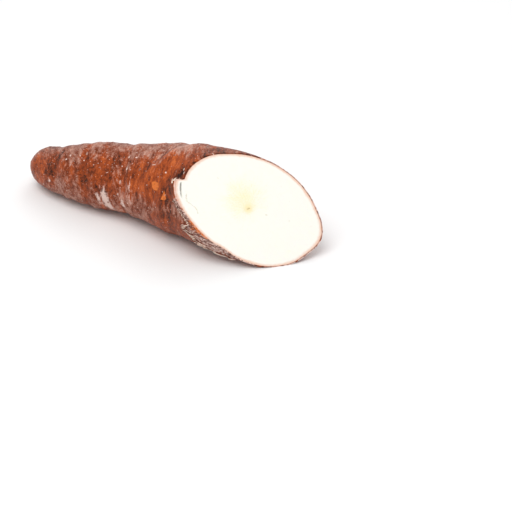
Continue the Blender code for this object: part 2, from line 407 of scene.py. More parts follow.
class CassavaSizes(bpy.types.PropertyGroup):
    """Sizes of the fine relief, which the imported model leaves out."""

    wrinkle_height: bpy.props.FloatProperty(
        name="Wrinkle height", description="Height of the fine wrinkles across the root",
        default=0.10 * MM, min=0.0, max=0.5 * MM, unit="LENGTH", precision=5)
    scale_height: bpy.props.FloatProperty(
        name="Scale height", description="Height of the scaly ridges of the bark",
        default=0.16 * MM, min=0.0, max=0.6 * MM, unit="LENGTH", precision=5)
    crease_height: bpy.props.FloatProperty(
        name="Crease height", description="Height of the creases along the root",
        default=0.12 * MM, min=0.0, max=0.5 * MM, unit="LENGTH", precision=5)
    flake_count: bpy.props.IntProperty(
        name="Flakes", description="How many loose flakes of bark are scattered over the root",
        default=190, min=0, max=1000)
    fibre_count: bpy.props.IntProperty(
        name="Fibres", description="How many torn fibres stand up beside the cut",
        default=90, min=1, max=500)


class CassavaColours(bpy.types.PropertyGroup):
    """Colours of the root."""

    bark_brown: bpy.props.FloatVectorProperty(
        name="Bark brown", description="The bark's main reddish brown",
        default=(0.230, 0.040, 0.008), **COLOUR)
    bark_dark: bpy.props.FloatVectorProperty(
        name="Bark dark", description="The dark blotches of the bark",
        default=(0.028, 0.007, 0.003), **COLOUR)
    bark_rust: bpy.props.FloatVectorProperty(
        name="Bark rust", description="The rusty orange patches of the bark",
        default=(0.380, 0.068, 0.012), **COLOUR)
    bark_bright: bpy.props.FloatVectorProperty(
        name="Bark bright", description="The brightest orange of the bark",
        default=(0.550, 0.122, 0.025), **COLOUR)
    # The relief makes this colour a little more likely on the grain's ridges: painted light there.
    bark_light: bpy.props.FloatVectorProperty(
        name="Bark light", description="The worn light brown on the ridges of the bark",
        default=(0.540, 0.275, 0.205), **COLOUR)
    # Besides the haze of the rings and mottles, this colour is the painted sheen on the root's top and low
    # on its near side.
    bark_haze: bpy.props.FloatVectorProperty(
        name="Bark haze", description="The greyish pink haze on the bark's rings and ridges",
        default=(0.300, 0.122, 0.082), **COLOUR)
    # Also the colour of the painted highlight along the bark's edge at the cut and of the painted glints
    # among the specks.
    scuff: bpy.props.FloatVectorProperty(
        name="Scuff", description="Pale scuffs and specks on the bark",
        default=(0.780, 0.580, 0.510), **COLOUR)
    inner_bark: bpy.props.FloatVectorProperty(
        name="Inner bark", description="The orange layer that shows where the outer bark has flaked off",
        default=(0.680, 0.165, 0.028), **COLOUR)
    torn_bark: bpy.props.FloatVectorProperty(
        name="Torn bark", description="The greyish fibres where the outer bark is torn off",
        default=(0.340, 0.185, 0.150), **COLOUR)
    cortex: bpy.props.FloatVectorProperty(
        name="Cortex", description="The pinkish cream layer between bark and flesh",
        default=(0.930, 0.770, 0.640), **COLOUR)
    # This colour is painted shade in the depth of the crack beside the lifted strip.
    crack: bpy.props.FloatVectorProperty(
        name="Crack", description="The greyish yellow in the crack beside the lifted strip",
        default=(0.110, 0.085, 0.055), **COLOUR)
    flesh: bpy.props.FloatVectorProperty(
        name="Flesh", description="The cut flesh",
        default=(0.940, 0.925, 0.850), **COLOUR)
    flesh_heart: bpy.props.FloatVectorProperty(
        name="Flesh heart", description="The yellowish flesh round the middle",
        default=(0.930, 0.905, 0.660), **COLOUR)
    glow: bpy.props.FloatVectorProperty(
        name="Glow", description="The deeper yellow right round the woody fibre",
        default=(0.930, 0.780, 0.420), **COLOUR)
    fibre: bpy.props.FloatVectorProperty(
        name="Fibre", description="The woody fibre at the middle of the cut",
        default=(0.400, 0.310, 0.095), **COLOUR)


class CassavaStage(bpy.types.PropertyGroup):
    """The floor, lights and camera."""

    floor_colour: bpy.props.FloatVectorProperty(
        name="Floor colour", description="Colour of the plain floor",
        default=(0.93, 0.93, 0.93), **COLOUR)
    sky_strength: bpy.props.FloatProperty(
        name="Sky strength", description="Brightness of the even light from all round",
        default=0.70, min=0.0, max=5.0)
    key_power: bpy.props.FloatProperty(
        name="Key power", description="Power of the large soft light above",
        default=7.0, min=0.0, max=100.0)
    view_turn: bpy.props.FloatProperty(
        name="View turn", description="How far the camera stands round from the root's near side",
        default=math.radians(37.34), subtype="ANGLE")
    view_height: bpy.props.FloatProperty(
        name="View height", description="How steeply the camera looks down",
        default=math.radians(30), subtype="ANGLE")
    view_angle: bpy.props.FloatProperty(
        name="View angle", description="The camera's field of view",
        default=math.radians(22), subtype="ANGLE")
    view_distance: bpy.props.FloatProperty(
        name="View distance", description="From the camera to the point of the floor that it aims at",
        default=0.7708, min=0.2, max=5.0, unit="LENGTH")
    view_along: bpy.props.FloatProperty(
        name="View along", description="How far along the root, from its middle, the camera aims",
        default=0.0725, min=-1.0, max=1.0, unit="LENGTH")
    view_aside: bpy.props.FloatProperty(
        name="View aside", description="How far to the root's far side the camera aims",
        default=0.00044, min=-1.0, max=1.0, unit="LENGTH", precision=5)


# ---------------------------------------------------------------- materials


def feed(tree, shader, inputs):
    """Set a shader node's inputs, each to a plain value or by a link from another node's output."""
    for key, value in inputs.items():
        if isinstance(value, bpy.types.NodeSocket):
            tree.links.new(value, shader.inputs[key])
        else:
            shader.inputs[key].default_value = value


def node(tree, kind, inputs, **settings):
    """A shader node with its inputs and settings."""
    made = tree.nodes.new(kind)
    for name, value in settings.items():
        setattr(made, name, value)
    feed(tree, made, inputs)
    return made


def attribute(tree, name, output="Fac"):
    """A value that the mesh carries at its points."""
    return node(tree, "ShaderNodeAttribute", {}, attribute_name=name).outputs[output]


def calculate(tree, operation, a, b=0.0):
    """The result of one sum on two values."""
    return node(tree, "ShaderNodeMath", {0: a, 1: b}, operation=operation).outputs[0]


def times(tree, a, b):
    """Two values multiplied."""
    return calculate(tree, "MULTIPLY", a, b)


def total(tree, *parts):
    """The sum of its parts, each of them a value, or a pair of factor and value."""
    added = None
    for part in parts:
        value = times(tree, part[1], part[0]) if isinstance(part, tuple) else part
        added = value if added is None else calculate(tree, "ADD", added, value)
    return added


def calculate_vectors(tree, operation, a, b, output="Vector"):
    """The result of one sum on two vectors."""
    return node(tree, "ShaderNodeVectorMath", {0: a, 1: b}, operation=operation).outputs[output]


def step(tree, value, low, high):
    """0 where the value is under low, 1 over high, smooth between; low may be above high."""
    made = node(tree, "ShaderNodeMapRange", {"Value": value, "From Min": low, "From Max": high},
                interpolation_type="SMOOTHSTEP")
    return made.outputs[0]


def mottle(tree, vector, size, detail=3.0, rough=0.55, seed=0.0, warp=0.0):
    """Noise whose features are about as large along each way as size says, in the vector's own units."""
    scaled = calculate_vectors(tree, "MULTIPLY", vector, [1 / s for s in size])
    moved = calculate_vectors(tree, "ADD", scaled, [seed] * 3)
    inputs = {"Vector": moved, "Scale": 1.0, "Detail": detail, "Roughness": rough, "Distortion": warp}
    return node(tree, "ShaderNodeTexNoise", inputs).outputs["Fac"]


def mix(tree, share, under, over):
    """Two colours mixed by a share; each is plain, or comes from another node."""
    under, over = [c if isinstance(c, bpy.types.NodeSocket) else (*c, 1.0) for c in (under, over)]
    return node(tree, "ShaderNodeMix", {0: share, 6: under, 7: over}, data_type="RGBA").outputs[2]


def bump(tree, height, strength, depth):
    """A normal for the shader that shows a height as small bumps."""
    inputs = {"Height": height, "Strength": strength, "Distance": depth}
    return node(tree, "ShaderNodeBump", inputs).outputs[0]


def new_material(name):
    """A material, its tree and its shader."""
    made = bpy.data.materials.new(name)
    made.use_nodes = True
    return made, made.node_tree, made.node_tree.nodes["Principled BSDF"]


def blend(tree, value, stops):
    """A colour for each value, evenly mixed between stops; a stop is a value and its colour."""
    made = node(tree, "ShaderNodeValToRGB", {0: value})
    marks = made.color_ramp.elements
    while len(marks) < len(stops):
        marks.new(0.5)
    for mark, (position, colour) in zip(marks, stops):
        mark.position = position
        mark.color = (*colour, 1.0)
    return made.outputs[0]


def bark_material(colours):
    """Waxy brown bark: rusty and hazy mottles, dark crumbs, specks, scuffs, torn bark by the cut, and
    painted sheen, glints, highlight and shade.
    """
    made, tree, shader = new_material("cassava_bark")
    grain = attribute(tree, "grain_space", "Vector")
    relief = attribute(tree, "relief")
    patches = mottle(tree, grain, (4.5, 10.0, 10.0), 3.0, 0.6, 11.0, 0.6)
    streaks = mottle(tree, grain, (2.1, 4.0, 4.0), 4.0, 0.62, 3.0, 0.5)
    broad = mottle(tree, grain, (6.0, 8.0, 8.0), 2.0, 0.5, 31.0, 0.4)
    flecks = mottle(tree, grain, (1.1, 1.3, 1.3), 4.0, 0.7, 5.0, 0.3)
    crumbs = mottle(tree, grain, (0.55, 0.7, 0.7), 2.0, 0.6, 8.0)
    sparse = mottle(tree, grain, (1.3, 1.1, 1.1), 1.0, 0.5, 17.0)

    # The relief lightens the tone a little on the grain's ridges and darkens it in its hollows: painted
    # light and shade. The shade attribute brings in the painted shade and highlight along the fold.
    tone = total(tree, (1.4, patches), (1.0, streaks), (1.1, flecks), (0.7, crumbs), (0.05, relief),
                 (0.32, attribute(tree, "shade")), -1.62)
    rusty = blend(tree, tone, (
        (0.05, colours.bark_dark),
        (0.40, colours.bark_brown),
        (0.68, colours.bark_rust),
        (0.95, colours.bark_bright),
    ))
    hazy = blend(tree, tone, (
        (0.05, colours.bark_dark),
        (0.30, colours.bark_brown),
        (0.48, colours.bark_haze),
        (0.92, colours.bark_light),
    ))
    # Painted sheen on the top and low on the near side, carried with the rings' haze, turns the colour hazy.
    clouded = total(tree, (0.9, streaks), (0.5, broad), (0.25, flecks), (0.34, attribute(tree, "haze")),
                    (-0.34, attribute(tree, "rust")))
    colour = mix(tree, step(tree, clouded, 0.74, 1.00), rusty, hazy)

    fibres = total(tree, mottle(tree, grain, (4.0, 0.8, 0.8), 3.0, 0.6, 21.0), (0.6, flecks))
    torn_colour = blend(tree, fibres, (
        (0.62, colours.bark_dark),
        (0.76, colours.torn_bark),
        (0.91, colours.scuff),
    ))
    colour = mix(tree, attribute(tree, "torn"), colour, torn_colour)
    creamy = step(tree, total(tree, flecks, (0.4, streaks)), 0.60, 1.25)
    fresh = mix(tree, creamy, colours.inner_bark, colours.cortex)
    colour = mix(tree, attribute(tree, "peeled"), colour, fresh)

    # The scuffs, and the painted highlight along the bark's edge at the cut, go pale.
    scuffed = total(tree, attribute(tree, "scuff"), (1.6, flecks), (1.4, streaks))
    scuff_share = times(tree, step(tree, scuffed, 1.88, 2.60), 0.92)
    colour = mix(tree, scuff_share, colour, colours.scuff)
    # Pale specks: bits of scuffed bark and painted glints, a few more where the sheen is painted.
    specks = step(tree, total(tree, sparse, (0.25, crumbs), (0.02, attribute(tree, "haze"))), 0.86, 0.90)
    colour = mix(tree, specks, colour, colours.scuff)

    height = total(tree, (0.6, flecks), (0.4, crumbs), (0.3, streaks))
    feed(tree, shader, {
        "Base Color": colour,
        "Roughness": total(tree, (0.34, flecks), 0.25),
        "Specular IOR Level": 0.14,
        "Sheen Weight": 0.05,
        "Sheen Roughness": 0.3,
        "Sheen Tint": (1.0, 0.86, 0.82, 1.0),
        "Normal": bump(tree, height, 0.8, 0.5 * MM),
    })
    return made


def chip_material(colours):
    """The smooth orange layer under the outer bark."""
    made, tree, shader = new_material("inner_bark")
    where = node(tree, "ShaderNodeTexCoord", {}).outputs["Object"]
    cloud = mottle(tree, where, (1.0 * MM, 1.0 * MM, 1.0 * MM), 3.0, 0.6, 3.0)
    deep = [0.75 * c for c in colours.inner_bark]
    feed(tree, shader, {
        "Base Color": mix(tree, step(tree, cloud, 0.35, 0.6), deep, colours.inner_bark),
        "Roughness": 0.4,
        "Specular IOR Level": 0.2,
        "Normal": bump(tree, cloud, 0.15, 0.1 * MM),
    })
    return made


def flake_material(colours):
    """Loose bark, coloured by its tone: from dark bark over haze and scuff to the cream of the cortex."""
    made, tree, shader = new_material("loose_bark")
    where = node(tree, "ShaderNodeTexCoord", {}).outputs["Object"]
    cloud = mottle(tree, where, (0.6 * MM, 0.6 * MM, 0.6 * MM), 3.0, 0.6, 3.0)
    tone = attribute(tree, "tone")
    under = mix(tree, step(tree, tone, 0.0, 0.5), colours.bark_dark, colours.bark_brown)
    upper = mix(tree, step(tree, tone, 0.55, 0.9), under, colours.bark_haze)
    upper = mix(tree, step(tree, tone, 0.85, 0.95), upper, colours.scuff)
    # Tones over 1 go to the cortex's cream; at the torn strip's free end this is partly painted light.
    upper = mix(tree, step(tree, tone, 1.0, 1.2), upper, colours.cortex)
    dusty = times(tree, step(tree, cloud, 0.55, 0.75), 0.6)
    feed(tree, shader, {
        "Base Color": mix(tree, dusty, upper, colours.scuff),
        "Roughness": 0.45,
        "Specular IOR Level": 0.14,
        "Normal": bump(tree, cloud, 0.4, 0.2 * MM),
    })
    return made


def cortex_material(colours):
    """The moist layer under the bark: cream, peach and then orange towards the bark, with painted shade in
    the crack.
    """
    made, tree, shader = new_material("cassava_cortex")
    depth = attribute(tree, "rim_depth")
    face = attribute(tree, "cut_space", "Vector")
    cloud = mottle(tree, face, (2.0, 2.0, 2.0), 3.0, 0.5, 4.0)
    broad = mottle(tree, face, (9.0, 9.0, 9.0), 2.0, 0.5, 6.0)
    fringe = total(tree, depth, (1.6, cloud), (2.4, broad))
    colour = mix(tree, step(tree, fringe, 4.0, 2.5), colours.flesh, colours.cortex)
    peach = times(tree, step(tree, total(tree, depth, (0.8, cloud)), 2.7, 0.9), 0.36)
    colour = mix(tree, peach, colour, colours.inner_bark)
    line = times(tree, step(tree, total(tree, depth, (0.5, cloud)), 0.95, 0.75), 0.55)
    colour = mix(tree, line, colour, colours.bark_rust)
    # Painted shade in the crack beside the lifted strip, dotted by the cloud.
    crack = times(tree, attribute(tree, "crack"), step(tree, cloud, 0.25, 0.50))
    feed(tree, shader, {
        "Base Color": mix(tree, crack, colour, colours.crack),
        "Roughness": 0.45,
        "Normal": bump(tree, cloud, 0.3, 0.15 * MM),
    })
    return made


def flesh_material(colours):
    """Starchy white flesh: yellowish and dotted round the middle, with a woody fibre and faint marks."""
    made, tree, shader = new_material("cassava_flesh")
    face = attribute(tree, "cut_space", "Vector")
    ray = attribute(tree, "ray_space", "Vector")
    halo = attribute(tree, "halo")
    cloud = mottle(tree, face, (6.0, 6.0, 6.0), 4.0, 0.6, 2.0)
    grit = mottle(tree, face, (0.7, 0.7, 0.7), 2.0, 0.6, 9.0)
    sparse = mottle(tree, face, (1.1, 0.9, 0.9), 1.0, 0.5, 26.0)
    rays = mottle(tree, ray, (1.0, 1.0, 1.0), 3.0, 0.6, 14.0)
    yellow = step(tree, total(tree, halo, (0.9, cloud), (0.5, rays)), 0.80, 2.0)
    colour = mix(tree, yellow, colours.flesh, colours.flesh_heart)
    dotted = step(tree, total(tree, (0.30, halo), grit, (0.3, rays)), 0.86, 1.02)
    colour = mix(tree, times(tree, dotted, 0.35), colour, colours.glow)
    faint = times(tree, step(tree, rays, 0.60, 0.78), 0.3)
    colour = mix(tree, faint, colour, colours.flesh_heart)
    specks = times(tree, step(tree, sparse, 0.76, 0.82), 0.35)
    colour = mix(tree, specks, colour, colours.fibre)
    faded = times(tree, step(tree, grit, 0.30, 0.75), 0.55)
    for start, end, width in FACE_MARKS:
        share = times(tree, streak(tree, face, start, end, width, cloud), faded)
        colour = mix(tree, share, colour, colours.fibre)
    glow = step(tree, total(tree, attribute(tree, "glow"), (0.5, grit)), 0.35, 1.3)
    colour = mix(tree, times(tree, glow, 0.8), colour, colours.glow)
    woody = step(tree, total(tree, attribute(tree, "heart"), (0.2, grit)), 0.35, 1.0)
    feed(tree, shader, {
        "Base Color": mix(tree, woody, colour, colours.fibre),
        "Roughness": 0.5,
        "Subsurface Weight": 0.12,
        "Subsurface Scale": 1.5 * MM,
        "Normal": bump(tree, grit, 0.25, 0.12 * MM),
    })
    return made


def streak(tree, face, start, end, width, cloud):
    """1 on a thin wavering mark on the cut face, from start to end in millimetres, else 0."""
    run = Vector((end[0] - start[0], end[1] - start[1], 0.0))
    middle = ((start[0] + end[0]) / 2, (start[1] + end[1]) / 2, 0.0)
    ahead = run.normalized()
    aside = (-ahead[1], ahead[0], 0.0)
    from_middle = calculate_vectors(tree, "SUBTRACT", face, middle)
    along_it = calculate_vectors(tree, "DOT_PRODUCT", from_middle, ahead, "Value")
    across_it = calculate_vectors(tree, "DOT_PRODUCT", from_middle, aside, "Value")
    wavering = total(tree, across_it, (1.6, cloud), -0.8)
    thin = step(tree, calculate(tree, "ABSOLUTE", wavering), width, 0.3 * width)
    short = step(tree, calculate(tree, "ABSOLUTE", along_it), 0.5 * run.length, 0.4 * run.length)
    return times(tree, thin, short)


# ---------------------------------------------------------------- the root's mesh

# Pale scuffs: place, direction, half length, half width, and how strong
SCUFFS = measured((MM, DEGREE, MM, DEGREE, 1), [
    (79.4, 110, 3.1, 24, 1.5),
    (74.2, 106, 2.0, 11, 1.15),
    (91.1, 70, 0.7, 3.5, 0.9),
    (92.6, 107, 1.8, 7, 1.3),
    (93.2, 48, 0.8, 2.5, 1.0),
    (95.7, 28, 0.9, 3, 0.8),
    (89.4, 27, 0.6, 2.5, 0.8),
    (99.8, 86, 0.7, 28, 0.75),
    (33.0, 94, 1.2, 9, 0.75),
    (37.9, 83, 0.8, 6, 0.6),
])
# How far a scuff's place moves along the root over one radian round it
SCUFF_LEAN = 1.5 * MM
# Blotches: place, direction, half length, half width, rust (- hazy), and shade (+ light, - dark)
BLOTCHES = measured((MM, DEGREE, MM, DEGREE, 1, 1), [
    (20.0, 75, 9.0, 50, 0.8, 0.15),
    (38.0, 30, 3.0, 14, 0.0, -0.7),
    (53.0, 76, 4.0, 26, 0.8, -0.2),
    (35.0, 68, 5.0, 30, 1.3, -0.8),
    (66.0, 66, 4.5, 26, 1.1, -0.5),
    (76.0, 66, 3.5, 26, 1.6, 0.0),
    (107.0, 60, 9.0, 26, 0.8, 0.3),
    (128.5, 45, 6.5, 19, 1.2, 0.8),
    (81.5, 64, 4.5, 32, 0.6, -0.4),
    (44.0, 92, 4.5, 15, -1.2, 0.5),
    (127.0, 14, 6.0, 12, -0.2, 0.6),
    (93.0, 92, 4.0, 14, -0.4, 0.5),
    (112.0, 4, 18.0, 24, -0.3, 0.5),
    (146.0, -8, 10.0, 30, 0.0, -0.2),
    (55.0, 10, 14.0, 25, 0.0, 0.2),
    (119.0, 98, 14.0, 14, -1.2, 0.0),
    (137.0, 44, 3.0, 6, -1.0, -1.1),
    (138.0, 87, 9.0, 11, -1.6, -0.1),
    (133.0, 66, 9.0, 24, 0.9, -1.0),
    (131.0, 104, 14.0, 9, 1.0, -0.1),
    (66.0, 205, 14.0, 40, 0.7, 0.3),
    (120.0, 250, 16.0, 35, 0.8, 0.3),
    (40.0, 290, 9.0, 35, 0.7, -0.3),
])
# Painted sheen in bands along the root, on its top and low on its near side, the low band partly dust as
# well: direction, half width, and how strong
SHEEN_AND_DUST_BANDS = measured((DEGREE, DEGREE, 1), [
    (0.0, 38.0, 0.5),
    (125.0, 28.0, 0.4),
])
# The painted highlight along the bark's edge at the cut: its middle, and how far to both sides it is full
# and ends
RIM_HIGHLIGHT_ANGLE = math.radians(245)
RIM_HIGHLIGHT_FULL, RIM_HIGHLIGHT_END = math.radians(70), math.radians(95)
# How widely the grain's colours are spread round the root, as a radius in millimetres
GRAIN_RADIUS = 24
# The bark's own edge on the cut face: how pale it is along the lifted strip, and its shade all round
STRIP_SCUFF = 1.05
FACE_SHADE = -0.5
# The cut face, measured across (level) and up from its middle
HALO_ACROSS, HALO_UP = -4.2 * MM, 6.2 * MM
HALO_RADIUS = 12.5 * MM
HEART_ACROSS, HEART_UP = -2.1 * MM, 0.4 * MM
HEART_RADIUS = 0.9 * MM
GLOW_RADIUS = 3.2 * MM
# The rays round the heart: how fine they are round it, and how long
SPOKES = 14
RAY_LENGTH = 6 * MM
# The depth under the bark that the flesh counts as, in millimetres
DEEP = 4.0
# Faint yellowish marks on the cut face: start and end, each across and up, and width, in millimetres
FACE_MARKS = [
    ((-37.2, 13.6), (-37.0, 8.8), 0.7),
    ((-37.1, 9.4), (-32.2, 4.1), 0.4),
    ((-32.4, 4.6), (-31.6, 1.2), 0.4),
    ((-17.8, 20.4), (-16.6, 20.0), 0.5),
    ((7.4, -4.5), (8.8, -4.9), 0.5),
    ((20.3, -9.7), (21.5, -9.9), 0.5),
]


def body_grid(angles, ends, sizes):
    """The bark's points, one row of the array for each ring from tip to cut, and where they are."""
    turned = math.pi / 2 * np.arange(1, NOSE_ROWS + 1) / NOSE_ROWS
    nose = TIP + NOSE_LENGTH * (1 - np.cos(turned))
    share = np.arange(1, BODY_ROWS) / BODY_ROWS
    straight = np.concatenate([nose, nose[-1] + (CUT_CENTRE[0] - nose[-1]) * share])
    leaning = ramp(straight, LEAN_START, CUT_CENTRE[0])
    x = straight[:, None] + (ends[None, :] - CUT_CENTRE[0]) * leaning[:, None]
    x, angle = np.broadcast_arrays(x, angles[None, :])
    return bark_points(x, angle, ends[None, :], sizes), x, angle


def crack_open(angle):
    """How far the crack beside the lifted strip gapes, from 0 to 1."""
    return ramp(angle, FLAP_FULL - DEGREE, FLAP_FULL + 2 * DEGREE) * ramp(flap(angle), 0.70, 0.95)


def face_rings(angles, ends):
    """The rings of the cut face from the bark's edge to the flesh, with their depth under the bark."""
    sunk = np.zeros((len(angles), 3))
    sunk[:, 0] = -CRACK_DEPTH * crack_open(angles)
    cortex_inside = BARK_THICKNESS + CORTEX_THICKNESS
    flesh_edge = cortex_inside + CRACK_WIDTH
    inward = [0.0, 0.5 * BARK_THICKNESS, BARK_THICKNESS]
    inward += [BARK_THICKNESS + CORTEX_THICKNESS * share for share in (0.25, 0.5, 0.75, 1.0)]
    inward += [cortex_inside + CRACK_WIDTH / 3, flesh_edge - CRACK_WIDTH / 3, flesh_edge]
    rings = []
    for ring, depth in enumerate(inward):
        lifted = 1.0 if ring <= CORTEX_INSIDE + 1 else FLESH_FOLLOWS
        points = rim_points(angles, ends, depth, lifted)
        rings.append(points + sunk if CORTEX_INSIDE < ring < FLESH_EDGE else points)
    return np.stack(rings), inward


def flesh_rings(edge):
    """Rings that shrink evenly from the flesh's edge to the middle of the cut."""
    shares = 1 - np.arange(1, FLESH_RINGS) / FLESH_RINGS
    return CUT_CENTRE + (edge - CUT_CENTRE) * shares[:, None, None]


def root_faces(count):
    """The faces between neighbouring rings, with a fan at the tip and one at the middle of the cut."""
    first = np.arange(count - 1)[:, None] * COLUMNS
    here = first + np.arange(COLUMNS)
    there = first + (np.arange(COLUMNS) + 1) % COLUMNS
    quads = np.stack([here + COLUMNS, there + COLUMNS, there, here], axis=-1).reshape(-1, 4)
    last = (count - 1) * COLUMNS
    tip, heart = count * COLUMNS, count * COLUMNS + 1
    pairs = [(j, (j + 1) % COLUMNS) for j in range(COLUMNS)]
    tip_fan = [(tip, a, b) for a, b in pairs]
    heart_fan = [(heart, last + b, last + a) for a, b in pairs]
    return quads.tolist() + tip_fan + heart_fan


def divide(mesh, body_count, count):
    """Share the faces out to bark (0), cortex (1) and flesh (2), and mark the sharp edges of the cut."""
    ring = np.repeat(np.arange(count - 1), COLUMNS) - body_count
    material = np.where(ring < BARK_INSIDE, 0, np.where(ring < FLESH_EDGE, 1, 2))
    material = np.concatenate([material, np.full(COLUMNS, 0), np.full(COLUMNS, 2)])
    mesh.polygons.foreach_set("material_index", material.astype(np.int32))
    mesh.shade_smooth()
    ends_of_edges = np.empty(len(mesh.edges) * 2, dtype=np.int32)
    mesh.edges.foreach_get("vertices", ends_of_edges)
    ring_index = ends_of_edges.reshape(-1, 2) // COLUMNS - body_count
    sharp_rings = [0, *range(CORTEX_INSIDE, FLESH_EDGE + 1)]
    sharp = (ring_index[:, 0] == ring_index[:, 1]) & np.isin(ring_index[:, 0], sharp_rings)
    mesh.attributes.new("sharp_edge", "BOOLEAN", "EDGE").data.foreach_set("value", sharp)


def root_piece(sizes, colours):
    """The whole root: bark, cortex and flesh as one closed mesh with three materials."""
    angles = 2 * math.pi * np.arange(COLUMNS) / COLUMNS
    ends = cut_x(angles)
    body, x, angle = body_grid(angles, ends, sizes)
    face, inward = face_rings(angles, ends)
    rings = np.concatenate([body, face, flesh_rings(face[-1])])
    count = len(rings)
    points = np.concatenate([rings.reshape(-1, 3), [place(TIP, 0.0, 0.0), CUT_CENTRE]])
    mesh = bpy.data.meshes.new("cassava_root_skin")
    mesh.from_pydata((points - ORIGIN).tolist(), [], root_faces(count))
    divide(mesh, len(body), count)
    # The grain's relief, which the bark's tone follows a little as painted light on ridges and painted shade
    # in hollows.
    relief = bark_grain(x, angle, sizes) / max(sizes.scale_height, 0.01 * MM)
    carry(mesh, "relief", pad(relief, count - len(x)))
    paint_bark(mesh, x, angle, ends, count)
    paint_cut(mesh, rings, inward, len(body))
    for made in (bark_material(colours), cortex_material(colours), flesh_material(colours)):
        mesh.materials.append(made)
    return add_object("cassava_root_skin", mesh)


def add_object(name, data):
    """An object in the scene."""
    made = bpy.data.objects.new(name, data)
    bpy.context.scene.collection.objects.link(made)
    return made


def carry(mesh, name, values):
    """Give a mesh one value or one vector for each of its points."""
    kind = "FLOAT" if values.ndim == 1 else "FLOAT_VECTOR"
    key = "value" if values.ndim == 1 else "vector"
    mesh.attributes.new(name, kind, "POINT").data.foreach_set(key, values.astype(np.float32).ravel())


def pad(values, rings_left):
    """Extend the bark's values over the cut face with their last ring, and to the two end points."""
    tail = np.repeat(values[-1:], rings_left, axis=0)
    flat = np.concatenate([values, tail]).reshape(-1, *values.shape[2:])
    return np.concatenate([flat, flat[:1], flat[-1:]])


def ring_tints(rings, angle):
    """The haze and rust of the growth rings, with painted sheen in bands along the root added to the haze.
    """
    haze = np.zeros_like(rings)
    rust = np.zeros_like(rings)
    for centre, _height, width, hazy, rusty in RINGS:
        strength = bell(rings - centre, width)
        haze = haze + hazy * strength
        rust = rust + rusty * strength
    uneven = 1 + 2.0 * noise_round(rings, angle, 1.6, 12 * MM, 50.0)
    haze = 0.6 * haze * np.clip(uneven, 0.0, 1.6)
    # Painted sheen in bands on the top and low on the near side, added to the rings' haze.
    for direction, spread, strength in SHEEN_AND_DUST_BANDS:
        haze = haze + strength * bell(turn(angle, direction), spread)
    return haze, 0.8 * rust


def blotch_tints(x, angle):
    """The rust and shade of the blotches, with rust past the fold, and painted shade in the hollow before
    the fold and a painted highlight on its ridge.
    """
    rust = np.zeros_like(x)
    shade = np.zeros_like(x)
    for centre, direction, length, spread, rusty, light in BLOTCHES:
        strength = bell(x - centre, length) * bell(turn(angle, direction), spread)
        rust = rust + rusty * strength
        shade = shade + light * strength
    past = past_fold(x, angle)
    over = bell(turn(angle, FOLD_ANGLE), FOLD_REACH)
    rust = rust + 0.5 * ramp(past, 0.0, 10 * MM)
    # A painted shade line in the hollow before the fold and a painted highlight line on its ridge.
    shade = shade - 0.8 * bell(past + 3.5 * MM, 1.8 * MM) * over + 0.6 * bell(past, 2.5 * MM) * over
    return rust, shade


def scuff_marks(x, angle):
    """How strong the pale scuffs are."""
    scuff = np.zeros_like(x)
    for centre, direction, length, spread, strength in SCUFFS:
        off = turn(angle, direction)
        lengthwise = bell(x - centre - SCUFF_LEAN * off, length)
        scuff = np.maximum(scuff, strength * lengthwise * bell(off, spread) ** 0.7)
    return scuff


def edge_marks(angle, back, ragged):
    """How strong the pale lines are: behind the torn bark, and the painted highlight along the bark's edge
    at the cut.
    """
    edge = torn_edge(angle)
    behind = bell(back - edge - 0.5 * MM, 0.55 * MM) * ramp(edge, 0.8 * MM, 2.0 * MM)
    off = turn(angle, RIM_HIGHLIGHT_ANGLE)
    # The painted highlight along the bark's edge at the cut.
    rim_highlight = bell(back, 0.6 * MM) * ramp(off, -RIM_HIGHLIGHT_END, -RIM_HIGHLIGHT_FULL) * (1 - ramp(off, RIM_HIGHLIGHT_FULL, RIM_HIGHLIGHT_END))
    return np.maximum(behind, rim_highlight * np.clip(0.5 + ragged, 0.0, 1.2))


def bark_paint(x, angle, end):
    """The bark's colouring at given places: where its grain lies, and how much of each colour it has."""
    rings = ring_place(x, angle)
    back = end - x
    around = [rings / MM, GRAIN_RADIUS * np.sin(angle), GRAIN_RADIUS * np.cos(angle)]
    haze, ring_rust = ring_tints(rings, angle)
    rust, shade = blotch_tints(x, angle)
    ragged = 0.5 + 1.6 * noise_round(x, angle, 30.0, 2.0 * MM, 44.0)
    peeled = PEELED_REACH * bell(turn(angle, PEELED_ANGLE), PEELED_WIDTH) * (0.8 + 0.4 * ragged)
    return {
        "grain_space": np.stack(around, axis=-1),
        "haze": haze,
        "rust": ring_rust + rust,
        "shade": shade,
        # Scuffs, with the pale line behind the torn bark and the painted highlight along the bark's edge at
        # the cut.
        "scuff": np.maximum(scuff_marks(x, angle), edge_marks(angle, back, ragged)),
        "torn": torn_off(angle, back),
        "peeled": ramp(peeled - back, -0.1 * MM, 0.25 * MM),
    }


def paint_bark(mesh, x, angle, ends, count):
    """Carry the bark's colouring on the root's mesh, and give the cut face what goes on from it."""
    end = ends[None, :]
    painted = {name: pad(value, count - len(x)) for name, value in bark_paint(x, angle, end).items()}
    on_strip = np.tile(ramp(flap(angle[-1]), 0.25, 0.6), count - len(x))
    stripped = np.concatenate([on_strip, [0.0, 0.0]])
    scuff = painted["scuff"]
    scuff[x.size:] = STRIP_SCUFF * stripped
    at_edge = bark_paint(end, angle[-1:], end)["scuff"].ravel()
    # The pale lines of the bark, mostly its painted highlight along the edge, go on over the face's first
    # two rings, which are its thickness.
    for first in (x.size, x.size + COLUMNS):
        scuff[first:first + COLUMNS] = np.maximum(scuff[first:first + COLUMNS], at_edge)
    painted["peeled"][x.size:] = np.maximum(painted["peeled"][x.size:], stripped)
    painted["shade"][x.size:] += FACE_SHADE
    for name, values in painted.items():
        carry(mesh, name, values)


